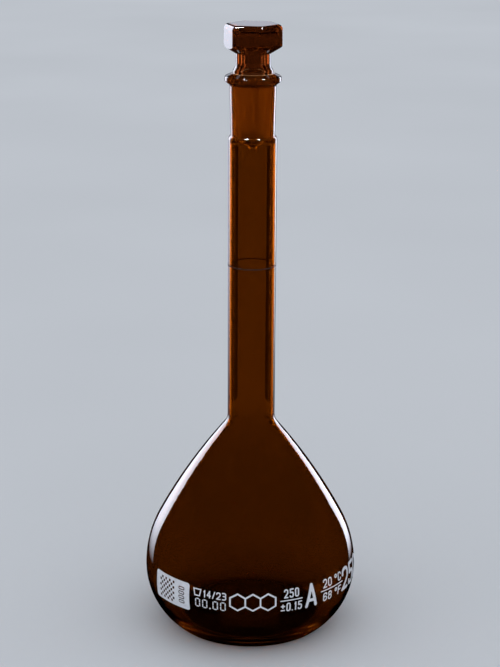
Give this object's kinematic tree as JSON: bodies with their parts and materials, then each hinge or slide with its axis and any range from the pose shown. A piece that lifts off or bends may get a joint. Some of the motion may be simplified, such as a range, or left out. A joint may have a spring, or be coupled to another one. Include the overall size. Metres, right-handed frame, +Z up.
{
  "type": "volumetric flask",
  "caption": "Amber glass one-mark volumetric flask with a pear-shaped bulb, long neck, ground conical socket, white enamel marks and a hexagon-head ground stopper.",
  "frame": {"origin": "centre of the foot, on the plane the flask stands on", "axes": "+Z up the neck; the enamel marks face -Y, and the capacity figures face +X"},
  "size_m": [0.0811, 0.0811, 0.2304],
  "materials": {
    "amber_glass": "clear blown amber borosilicate glass, ground inside the socket",
    "stopper_glass": "clear moulded amber glass head, ground cone",
    "white_enamel": "thin fired white enamel",
    "ring_stain": "thin fired brown stain"
  },
  "bodies": {
    "flask": {"flask_body": "amber_glass", "ring_mark": "ring_stain", "capacity_mark": "white_enamel", "temperature_mark": "white_enamel", "class_mark": "white_enamel", "tolerance_mark": "white_enamel", "emblem": "white_enamel", "joint_size_mark": "white_enamel", "batch_mark": "white_enamel", "code_panel": "white_enamel"},
    "stopper": {"stopper": "stopper_glass"}
  },
  "joints": [
    {"name": "stopper_lift", "type": "slide", "parent": "flask", "child": "stopper", "axis": [0, 0, 1], "range_m": [0, 0.04]}
  ]
}
